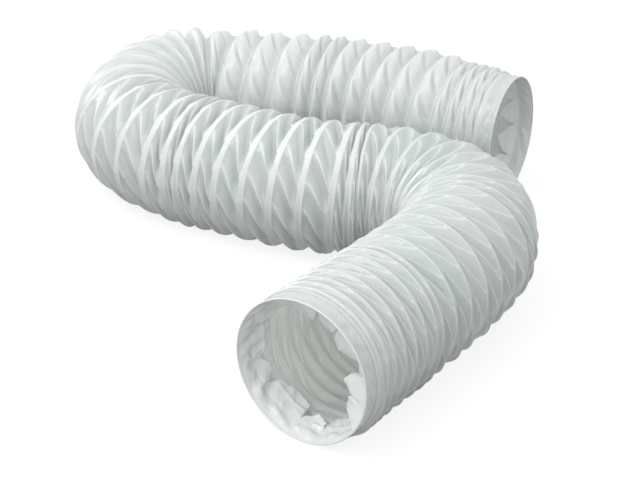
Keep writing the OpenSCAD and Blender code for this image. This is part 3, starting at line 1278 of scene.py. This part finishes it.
    def ripple(self) -> Term:
        """Small waves in the film between the turns, and streaks along it where it is loose.

        Returns:
            Distances outwards.
        """
        tree, shape, turn, nominal = self.formula, self.shape, self.turn, self.nominal
        first, second, third = shape.wave_scales
        waves = tree.noise(turn * first, self.station * second, turn * third, shape.wave_detail)
        first, second, third = shape.streak_scales
        streaks = tree.noise((self.fold + self.phase) * first, nominal * second, nominal * third)
        height = shape.streak + shape.streak * self.turned
        return waves * shape.wave + streaks * self.loose * self.room * height

    def finished(self) -> Formula:
        """Puts the strip on the hose, outside and inside, and stores how white its film is.

        Returns:
            The finished tree, which stores the numbers lap and station on the points.
        """
        tree, shape, station = self.formula, self.shape, self.station
        facet = self.facet()
        sunk, hang = self.sunk(facet), self.hang()

        # The ridge over the wire
        nearer = self.along.at_most(self.pitch - self.along).at_least(0)
        to_wire = nearer / self.close.at_least(shape.closest_wire)
        over_wire = 1 - to_wire.eased(0, shape.wire_width)
        nearest = self.turn + self.nominal.eased(*shape.between_wires)
        begun = nearest.eased(self.wire_start - shape.wire_ease, self.wire_start)
        wired = begun * (1 - nearest.eased(self.wire_end, self.wire_end + shape.wire_ease))
        near, far = shape.hem_ease
        past_hem = station.eased(self.hem_start + near, self.hem_start + far)
        free = past_hem * (1 - station.eased(self.hem_end - far, self.hem_end - near))
        outer = (self.radius + self.ridge * over_wire * wired + (self.bulge * hang - sunk) * free
                 + self.ripple() * free * (1 - over_wire))

        # The inner ply is tighter: it goes below the wire, and straight across the folds and under the domes
        reach = shape.inner_reach - shape.inner_baggy * self.baggy
        across = self.depth * self.room * self.slack_film * self.upside() * reach
        bridged = (across - sunk).at_least(0) * free
        behind_dome = shape.inner_dome * (self.bulge * hang).at_least(0) * free
        tighter = (self.inner_ridge * over_wire).at_least(bridged) + self.ridge * over_wire + behind_dome
        shell = outer - self.inside * (self.wall + tighter)
        place = placed_on_hose(tree, station, self.turn, shell, self.inside * self.wall)

        moved = tree.node("GeometryNodeSetPosition", Geometry=tree.entry.outputs[0], Position=place)
        # The whiteness holds painted shade and painted highlights as well as the plies
        whitened = tree.store(moved.outputs[0], "lap", self.whiteness(facet, over_wire))
        tree.finish(tree.store(whitened, "station", station))
        return tree

    def whiteness(self, facet: Term, over_wire: Term) -> Term:
        """How white the film is: whitest where doubled or creased, darkest where single, with painted light
        and shade.

        Args:
            facet: The share of its depth that a fold has across.
            over_wire: 1 over the wire, 0 beside it.

        Returns:
            Shares from 0 to 1.
        """
        white, past, phase, baggy, turned = self.white, self.past, self.phase, self.baggy, self.turned
        lap = white.taut_lap + white.baggy_lap * baggy
        lapped = (1 - past.eased(0, white.lap_edge)) * lap * (1 - white.turned_lap * turned)
        # The hollows of the pleats are darker: painted shade
        single = white.taut * (1 - baggy) + white.turned * turned + white.painted_pleat_shade * baggy * (1 - facet)
        # The creases are whitened as creased PVC is, and carry a painted highlight along their ridges
        ridge = (1 - phase.at_most(1 - phase) / white.crease_width).at_least(0)
        crease = ridge * past.eased(0, white.crease_start) * (1 - past * white.crease_fade)
        mouth_end = self.hem_start + white.mouth_reach
        near_mouth = (1 - self.station.eased(self.hem_start, mouth_end)) * white.mouth
        doubled = lapped.at_least(over_wire * white.wire)
        # The inside ply is all white: painted light that brightens the bore
        return doubled.at_least(single).at_least(crease).at_least(near_mouth).at_least(self.inside).held()


# --------------------------------------------------------------------------------------------------
# Wire
# --------------------------------------------------------------------------------------------------


@dataclass
class Spring:
    """The spring wire, swept along its helix inside the film. Lengths are in millimetres."""

    route: Route
    winding: Winding
    finish: WireFinish
    radius: float = 51.8
    thickness: float = 1.3
    flattened: float = 0.75  # least height of the wire's line over the floor, in thicknesses
    overlap: float = 0.3  # how far a section of wire goes on past its section's ends
    points_per_turn: int = 48
    sides: int = 8

    def formula(self) -> Formula:
        """Builds the tree that lays the wire's line on the helix and sweeps a round along it.

        Returns:
            The tree.
        """
        tree = Formula("SpringWire")
        radius, thick = tree.size("Radius", self.radius), tree.size("Thickness", self.thickness)
        sides = tree.take("Sides", "Int", self.sides)
        floor = thick * self.flattened
        place = placed_on_hose(tree, tree.attribute("station"), tree.attribute("turn"), radius, floor)
        moved = tree.node("GeometryNodeSetPosition", Geometry=tree.entry.outputs[0], Position=place)
        line = tree.node("GeometryNodeMeshToCurve", Mesh=moved.outputs[0])
        ring = tree.node("GeometryNodeCurvePrimitiveCircle", Resolution=sides, Radius=thick * (MM / 2))
        tube = tree.node("GeometryNodeCurveToMesh", Curve=line.outputs[0], Profile_Curve=ring.outputs[0],
                         Fill_Caps=True)
        tree.finish(tube.outputs[0])
        return tree

    def piece(
        self, section: Section, formula: Formula, centreline: bpy.types.Object, material: bpy.types.Material
    ) -> tuple[bpy.types.Object, np.ndarray]:
        """Makes one section of the wire.

        Args:
            section: The section.
            formula: The tree that sweeps the wire.
            centreline: The curve of the centreline.
            material: The wire's material.

        Returns:
            The piece and the stations of its points.
        """
        steps = int((self.winding.last_turn - self.winding.first_turn) * self.points_per_turn)
        turns = np.linspace(self.winding.first_turn, self.winding.last_turn, steps + 1)
        stations = self.winding.station(turns)
        turns = turns[(stations >= section.start - self.overlap) & (stations <= section.end + self.overlap)]
        stations = self.winding.station(turns)
        mesh = bpy.data.meshes.new("wire_line")
        mesh.from_pydata(np.zeros((len(turns), 3)), [(i, i + 1) for i in range(len(turns) - 1)], [])
        store_on_points(mesh, turn=turns, station=stations)
        tube = formula.run(mesh, {"Centreline": centreline, "Material": material, "Sides": self.sides})
        tube.name = f"wire_{section.name}"
        shade_smooth(tube)
        ring = len(tube.vertices) // len(stations)
        return put_in_scene(f"hose_wire_{section.name}", tube), np.repeat(stations, ring)


# --------------------------------------------------------------------------------------------------
# Cuffs
# --------------------------------------------------------------------------------------------------


class End(Enum):
    """Which mouth a cuff is at."""

    FRONT = "front"
    REAR = "rear"


@dataclass(frozen=True)
class Flap:
    """A torn flap of the turned-in hem. Flaps follow each other round; lengths are in millimetres."""

    width: float  # degrees round
    start: float  # how far in from the rim it leaves the wall
    reach: float  # how much further in it reaches
    curl: float  # how far its edge stands in from the wall
    point: float = 0.0  # 0 for a straight edge, 1 for a pointed leaf
    slant: float = 0.0  # how much further it reaches at its far side


@dataclass
class Cuff:
    """The smooth hem at a mouth, turned over a thin rim and in, with a torn and crumpled inner edge.

    Lengths are in millimetres.
    """

    end: End
    route: Route
    winding: Winding
    finish: HemFinish
    flaps: tuple[Flap, ...]
    first_flap: float  # degrees round from the top
    crumple: float
    seed: int
    length: float = 12.0
    radius: float = 52.38
    tuck: float = 0.9  # how far the hem goes on inside the sleeve
    wall: float = 1.25
    rim: float = 0.62
    ply: float = 0.35
    gather: float = 1.9  # depth of the gathers
    gather_start: float = 1.5
    gather_turn: float = 0.4  # radians round from the creases to the gathers
    gather_stretch: float = 1.6  # how much closer than the creases they lie along the hose
    crease: float = 2.4  # height of the creases where the film is turned in
    crease_run: Run = (1, 8)
    crease_power: float = 1.4  # how sharp they are
    clearance: float = 0.9  # distance kept from the folds of the sleeve
    clear_run: Run = (9, 14)
    wire_height: float = 0.8
    wire_width: float = 1.1
    tuck_ease: float = 1.2  # length over which the outer edge sinks under the sleeve
    tuck_sink: float = 0.45
    least_reach: float = 1.2  # of a flap, beyond where it leaves the wall
    flap_side: float = 0.07  # share of a flap's width over which its sides come up
    side_power: float = 0.7
    leaf_power: float = 0.75
    curl_power: float = 1.25
    gap: float = 0.1  # between the turned-in film and the wall, at the least
    floor_gap: float = 0.05
    columns: int = 480
    outer_rows: int = 16
    rim_rows: int = 7
    rows: int = 34

    def torn_edge(self, angle: np.ndarray) -> tuple[np.ndarray, np.ndarray, np.ndarray, np.ndarray]:
        """The edge of the turned-in film.

        Args:
            angle: Angles round from the top, in radians.

        Returns:
            Where the film leaves the wall, how deep it reaches, what its ragged edge adds, and its curl.
        """
        widths = np.array([flap.width for flap in self.flaps])
        starts = np.concatenate([[0], np.cumsum(widths * 360 / widths.sum())])
        round_from = (np.degrees(angle) - self.first_flap) % 360
        which = np.clip(np.searchsorted(starts, round_from, "right") - 1, 0, len(self.flaps) - 1)
        along = (round_from - starts[which]) / (starts[which + 1] - starts[which])
        start, reach, curl, point, slant = (
            np.array([getattr(flap, name) for flap in self.flaps])[which]
            for name in ("start", "reach", "curl", "point", "slant")
        )
        leaf = (1 - np.abs(2 * along - 1)) ** self.leaf_power
        square = np.clip(np.minimum(along, 1 - along) / self.flap_side, 0, 1) ** self.side_power
        shape = square * (1 - point) + leaf * point
        nibble = 0.5 * np.abs(((angle * 31) % 2) - 1) + 0.35 * np.abs(((angle * 53 + 0.7) % 2) - 1)
        depth = start + self.least_reach + reach * shape * (1 + slant * (2 * along - 1))
        return start, depth, nibble, curl * shape * (0.8 + 0.2 * np.sin(math.pi * along))

    def creases(self, angle: np.ndarray, depth: np.ndarray) -> np.ndarray:
        """Height of the sharp creases that the hem has where it's gathered.

        Args:
            angle: Angles round from the top, in radians.
            depth: Distances in from the rim.

        Returns:
            Heights from 0 to about 1, towards the bore.
        """
        rng = np.random.default_rng(self.seed)
        height = np.zeros(np.broadcast_shapes(angle.shape, depth.shape))
        gather = 0.5 * np.sin(3 * angle + 1) + 0.3 * np.sin(7 * angle + 2)
        # Sets of creases: how many there are in a round, how far they lean and how high they are
        sets = ((10, 0.07, 1.0), (17, 0.12, 0.7), (28, 0.05, 0.45), (21, -0.10, 0.3))
        for waves, lean, size in sets:
            place = waves * angle / math.pi + lean * depth + gather + rng.uniform(0, 2)
            height = height + size * np.abs(place % 2 - 1) ** self.crease_power
        return height / sum(size for _, _, size in sets)

    def over_wire(self, angle: np.ndarray, depth: np.ndarray) -> np.ndarray:
        """Height of the ring where the hem lies over the nearest turn of wire.

        Args:
            angle: Angles round from the top, in radians.
            depth: Distances in from the rim.

        Returns:
            Heights from 0 to 1, towards the bore.
        """
        turn = (angle / TURN) % 1
        if self.end is End.FRONT:
            turn = np.where(turn < self.winding.first_turn, turn + 1, turn)
            at = self.winding.station(turn)
        else:
            turn = self.winding.last_turn - (self.winding.last_turn - turn) % 1
            at = self.route.length - self.winding.station(turn)
        return np.exp(-((depth - at) / self.wire_width) ** 2)

    def gathers(self, angle: np.ndarray, depth: np.ndarray) -> np.ndarray:
        """How far the hem's gathers sink at a depth, on both of its sides."""
        along = ramp(depth, self.gather_start, self.length)
        sunk = self.creases(angle + self.gather_turn, self.gather_stretch * depth)
        return self.gather * sunk * np.sin(math.pi * along)

    def profile(self, angle: np.ndarray) -> list[tuple[np.ndarray, np.ndarray]]:
        """The rows of the hem, from its outer edge over the rim, in to the torn edge and back.

        Args:
            angle: Angles round from the top, in radians.

        Returns:
            For each row, distances in from the rim and distances from the centreline.
        """
        start, smooth, nibble, curl = self.torn_edge(angle)
        torn, inner = smooth + nibble, self.radius - self.wall

        def lift(depth: np.ndarray) -> np.ndarray:
            """How far the turned-in film stands in from the wall.

            Args:
                depth: Distances in from the rim.

            Returns:
                Distances towards the bore.
            """
            beyond = np.clip((depth - start) / (smooth - start), 0, 1.2)
            fold = self.creases(angle, depth) * self.crumple * ramp(depth, *self.crease_run)
            wired = self.wire_height * self.over_wire(angle, depth)
            clear = self.clearance * ramp(depth, *self.clear_run)
            curled = curl * beyond ** self.curl_power
            return self.gathers(angle, depth) + fold * self.crease + clear + wired + curled

        back, edge = self.length + self.tuck, self.tuck_ease
        rows = []
        for place in np.linspace(back, self.rim, self.outer_rows):
            depth = np.full_like(angle, place)
            sink = np.clip((place - self.length + edge) / (edge + self.tuck), 0, 1) ** 1.5 * self.tuck_sink
            rows.append((depth, self.radius - sink - self.gathers(angle, depth)))
        across = self.radius - self.wall / 2
        for bend in np.linspace(0, math.pi, self.rim_rows + 2)[1:-1]:
            rows.append((np.full_like(angle, self.rim * (1 - math.sin(bend))),
                         np.full_like(angle, across + self.wall / 2 * math.cos(bend))))
        for share in np.linspace(0, 1, self.rows):
            depth = self.rim + (torn - self.rim) * share
            rows.append((depth, inner - lift(depth) * (1 if share > 0 else 0)))
        rows.append((torn + 0.12, inner - lift(torn) + self.ply / 2))
        for share in np.linspace(1, 0, self.rows // 2):
            depth = back + self.gap + (torn - back - self.gap) * share
            rows.append((depth, np.minimum(inner - lift(depth) + self.ply, inner - self.gap)))
        rows.append((np.full_like(angle, back), np.full_like(angle, inner + self.gap)))
        return rows

    def mesh(self) -> tuple[np.ndarray, list[tuple[int, ...]], np.ndarray]:
        """Makes the closed shell of the hem.

        Returns:
            Points, faces, and for each point 0 on the outside and 1 where the film is turned in.
        """
        angle = np.linspace(0, TURN, self.columns, endpoint=False)
        rows = self.profile(angle)
        depth, radius = (np.array(list(values)) for values in zip(*rows))
        station = depth if self.end is End.FRONT else self.route.length - depth
        points = self.route.place(station, np.broadcast_to(angle, depth.shape), radius)
        points[..., 2] = np.maximum(points[..., 2], self.floor_gap)
        index = np.arange(len(rows) * self.columns).reshape(len(rows), self.columns)
        next_row, following = np.roll(index, -1, 0), np.roll(index, -1, 1)
        corners = [index, next_row, np.roll(following, -1, 0), following]
        if self.end is End.REAR:
            corners = corners[::-1]
        faces = np.stack(corners, -1).reshape(-1, 4).tolist()
        inside = np.repeat(np.arange(len(rows)) >= self.outer_rows, self.columns)
        return points.reshape(-1, 3) * MM, faces, inside

    def build(self) -> bpy.types.Object:
        """Makes the cuff.

        Returns:
            The piece.
        """
        points, faces, inside = self.mesh()
        mesh = bpy.data.meshes.new(f"{self.end.value}_cuff")
        mesh.from_pydata(points, [], faces)
        store_on_points(mesh, inside=inside)
        shade_smooth(mesh)
        mesh.materials.append(self.finish.material())
        return put_in_scene(f"{self.end.value}_hem", mesh)


FRONT_FLAPS = (
    Flap(24, 2.5, 6, 13, 0.15, -0.2), Flap(24, 2.5, 6, 17, 0.2, 0.25), Flap(14, 3, 7, 9, 0.6),
    Flap(30, 2.5, 6, 15, 0.15, -0.25), Flap(22, 3, 5, 12, 0.4, 0.3), Flap(26, 3, 6, 12, 0.25, 0.3),
    Flap(20, 5, 9, 9, 0.5), Flap(34, 9, 11, 6, 0.2), Flap(34, 11, 13, 5, 0.3, -0.3), Flap(22, 12, 9, 4, 0.7),
    Flap(40, 12, 17, 6, 0.3, 0.2), Flap(24, 12, 10, 5, 0.6), Flap(40, 12, 14, 4, 0.25, -0.2),
)
REAR_FLAPS = (
    Flap(26, 12.5, 9, 11, 0.7), Flap(30, 12.5, 11, 13, 0.5, 0.2), Flap(30, 12.5, 12, 14, 0.6),
    Flap(34, 12.5, 12, 13, 0.65, 0.2), Flap(28, 12.5, 11, 9, 0.5, -0.3), Flap(36, 12.5, 7, 4, 0.4),
    Flap(44, 12.5, 6, 3, 0.3, 0.2), Flap(40, 12.5, 9, 4, 0.5), Flap(30, 12.5, 8, 6, 0.8),
    Flap(34, 12.5, 10, 7, 0.6, -0.2), Flap(28, 12.5, 8, 7, 0.8),
)


# --------------------------------------------------------------------------------------------------
# Hose
# --------------------------------------------------------------------------------------------------


@dataclass
class Hose:
    """The whole duct: sleeve, spring and cuffs, in sections named for the CAD sections.

    Lengths are in millimetres.
    """

    route: Route = field(default_factory=Route)
    winding: Winding = field(default_factory=Winding)
    sections: Sections = field(default_factory=Sections)
    hem: float = 12.0
    margin: float = 1.8  # length at a section's ends that follows one body alone

    def centreline(self) -> bpy.types.Object:
        """Makes the centreline as a curve, for the node trees to sample.

        Returns:
            The curve's object.
        """
        curve = bpy.data.curves.new("centreline", "CURVE")
        curve.dimensions = "3D"
        points = self.route.line() * MM
        spline = curve.splines.new("POLY")
        spline.points.add(len(points) - 1)
        spline.points.foreach_set("co", np.column_stack([points, np.ones(len(points))]).ravel())
        return put_in_scene("centreline", curve)

    def hold(self, piece: bpy.types.Object, stations: np.ndarray, section: Section, slot: str) -> None:
        """Attaches a film or wire piece to its one body, else bakes its transform, and hides its CAD node.

        Args:
            piece: The piece.
            stations: The stations of its points.
            section: The section that it belongs to.
            slot: Starts the name of its CAD node, film or wire.
        """
        if section.first_body == section.last_body:
            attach(piece, section.first_body)
        else:
            ends = np.array([section.start, section.end])
            line = self.route.place(ends, np.zeros(2), np.zeros(2)) * MM
            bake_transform(piece)
            # A straight line from end to end isn't the way along a bent hose, so the share goes by station
            share = section.share(stations, self.margin)
        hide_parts(f"{slot}_{section.name}")
        log.info("%s %s: %d points", slot, section.name, len(stations))

    def build(self) -> None:
        """Makes every piece of the hose."""
        line = self.centreline()
        found = self.sections.all(self.winding, self.hem, self.route.length)

        sleeve = Sleeve(self.route, self.winding, FilmFinish(), hem=self.hem)
        film = sleeve.finish.material()
        grid, whole = sleeve.whole(line, film)
        for section in found:
            self.hold(*sleeve.piece(section, grid, whole, film), section, "film")

        spring = Spring(self.route, self.winding, WireFinish())
        steel, sweep = spring.finish.material(), spring.formula()
        for section in found:
            self.hold(*spring.piece(section, sweep, line, steel), section, "wire")
        bpy.data.objects.remove(line)

        parts = (self.route, self.winding, HemFinish())
        self.close_mouth(Cuff(End.FRONT, *parts, FRONT_FLAPS, -128.0, crumple=1.5, seed=3), "front_end")
        self.close_mouth(Cuff(End.REAR, *parts, REAR_FLAPS, 14.0, crumple=0.35, seed=5), "rear_end")

    def close_mouth(self, cuff: Cuff, body: str) -> None:
        """Makes a cuff, tied to the body of its end.

        Args:
            cuff: The cuff.
            body: The body that it rides on.
        """
        piece = cuff.build()
        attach(piece, body)
        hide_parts(f"{cuff.end.value}_cuff")
        log.info("%s cuff: %d points", cuff.end.value, len(piece.data.vertices))


# --------------------------------------------------------------------------------------------------
# Studio
# --------------------------------------------------------------------------------------------------


@dataclass(frozen=True)
class Lamp:
    """A soft square lamp. Lengths are in metres, its power in watts."""

    name: str
    place: tuple[float, float, float]
    size: float
    power: float

    def build(self, target: Vector) -> None:
        """Puts up the lamp, turned to a target.

        Args:
            target: The point that it lights.
        """
        light = bpy.data.lights.new(self.name, "AREA")
        light.size = self.size
        light.energy = self.power
        made = put_in_scene(self.name, light)
        made.location = self.place
        made.rotation_euler = (target - Vector(self.place)).to_track_quat("-Z", "Y").to_euler()


@dataclass(frozen=True)
class Studio:
    """Pale floor, soft lamps and the camera. Lengths are in metres and angles in degrees."""

    target: tuple[float, float, float] = (0.0123, 0.0423, 0.0)
    elevation: float = 25.87
    distance: float = 1.367
    focal: float = 92.6  # millimetres, on a sensor 36 mm wide
    sensor: float = 36.0
    farthest: float = 50.0
    floor_half: float = 6.0
    floor_white: float = 0.9
    floor_bounce: float = 0.27
    floor_roughness: float = 0.9
    floor_gloss: float = 0.1
    floor_glow: float = 1.1
    shadow_share: float = 0.24
    world_level: float = 0.88
    lamps: tuple[Lamp, ...] = (
        Lamp("key", (-1.0, -0.5, 2.1), 1.1, 13.0),
        Lamp("spark", (-1.1, -0.5, 1.7), 0.3, 2.2),
        Lamp("front", (-0.9, -1.9, 0.75), 0.9, 4.6),
        Lamp("edge", (-1.3, 1.3, 0.7), 0.5, 5.0),
    )

    def floor(self) -> None:
        """Makes the floor: it takes the shadow, and shows white to the camera and in reflections."""
        half = self.floor_half
        square = [(-half, -half, 0), (half, -half, 0), (half, half, 0), (-half, half, 0)]
        mesh = bpy.data.meshes.new("floor")
        mesh.from_pydata(square, [], [(0, 1, 2, 3)])
        shade = Shade("floor_white")
        rays = shade.node("ShaderNodeLightPath")
        camera, glossy = (Term(shade.tree, rays.outputs[n]) for n in ("Is Camera Ray", "Is Glossy Ray"))
        colour = shade.mixed(camera.socket, (self.floor_bounce,) * 3, (self.floor_white,) * 3)
        shade.set(Base_Color=colour, Roughness=self.floor_roughness, Specular_IOR_Level=self.floor_gloss)
        glow = shade.node("ShaderNodeEmission", Color=WHITE, Strength=self.floor_glow)
        share = camera.at_least(glossy) * (1 - self.shadow_share)
        both = shade.node("ShaderNodeMixShader")
        for slot, value in zip(both.inputs, (share, shade.shader.outputs[0], glow.outputs[0])):
            shade.feed(slot, value)
        shade.feed(shade.first("OUTPUT_MATERIAL").inputs["Surface"], both.outputs[0])
        mesh.materials.append(shade.material)
        put_in_scene("floor", mesh)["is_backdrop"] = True

    def world(self) -> None:
        """Soft light from all round, white where the camera sees it."""
        world = bpy.data.worlds.new("studio")
        bpy.context.scene.world = world
        world.use_nodes = True
        nodes = Nodes(world.node_tree)
        back = nodes.first("BACKGROUND")
        rays = nodes.node("ShaderNodeLightPath")
        level = nodes.node("ShaderNodeMapRange", Value=rays.outputs["Is Camera Ray"],
                           To_Min=self.world_level, To_Max=1.0)
        nodes.feed(back.inputs["Strength"], level.outputs["Result"])
        nodes.feed(back.inputs["Color"], WHITE)

    def camera(self) -> None:
        """Puts the camera at its distance from the target."""
        view = bpy.data.cameras.new("camera")
        view.lens = self.focal
        view.sensor_width = self.sensor
        view.clip_end = self.farthest
        made = put_in_scene("camera", view)
        tilt = math.radians(self.elevation)
        target = Vector(self.target)
        made.location = target + self.distance * Vector((0, -math.cos(tilt), math.sin(tilt)))
        made.rotation_euler = (target - made.location).to_track_quat("-Z", "Y").to_euler()
        bpy.context.scene.camera = made

    def build(self) -> None:
        """Makes the whole studio."""
        bpy.context.scene.view_settings.view_transform = "Standard"
        self.floor()
        self.world()
        for lamp in self.lamps:
            lamp.build(Vector(self.target))
        self.camera()


def corners(box: tuple[Vector, Vector]) -> list[list[float]]:
    """A box's corners as plain numbers."""
    return [[float(x) for x in corner] for corner in box]


def main() -> None:
    """Builds the scene round the CAD frame."""
    logging.basicConfig(level=logging.INFO, format="%(name)s: %(message)s")
    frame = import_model()
    log.info("the frame has %d nodes", len(frame["nodes"]))
    cad_box = corners(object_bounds())
    Studio().build()
    Hose().build()
    {"cad": cad_box, "visual": corners(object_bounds())}


if __name__ == "__main__":
    main()
